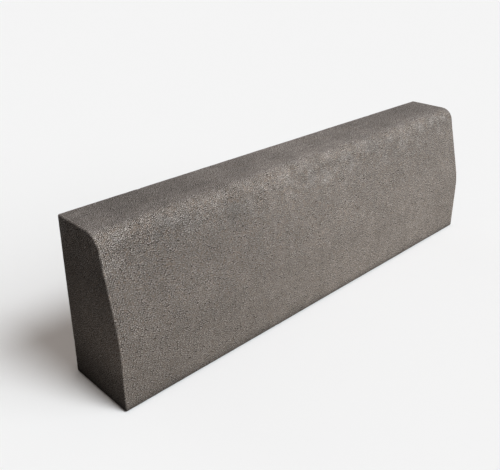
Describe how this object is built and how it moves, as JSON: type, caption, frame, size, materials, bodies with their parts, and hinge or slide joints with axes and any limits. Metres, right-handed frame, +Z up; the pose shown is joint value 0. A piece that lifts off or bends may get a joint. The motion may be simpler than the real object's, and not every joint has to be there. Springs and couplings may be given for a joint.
{
  "type": "concrete kerb stone",
  "caption": "Precast concrete road kerb stone: upright lower face, battered upper face, large-radius nose and flat top, laid end to end along a carriageway.",
  "frame": {"origin": "centre of the bed, the face that the stone stands on", "axes": "+X along the kerb line, +Y away from the road towards the footway, +Z up; the battered road face looks towards -Y"},
  "size_m": [1, 0.15, 0.3],
  "materials": {
    "concrete": "vibro-pressed concrete, matt, fine sandy grain"
  },
  "bodies": {
    "root": {"kerb_stone": "concrete"}
  },
  "joints": []
}
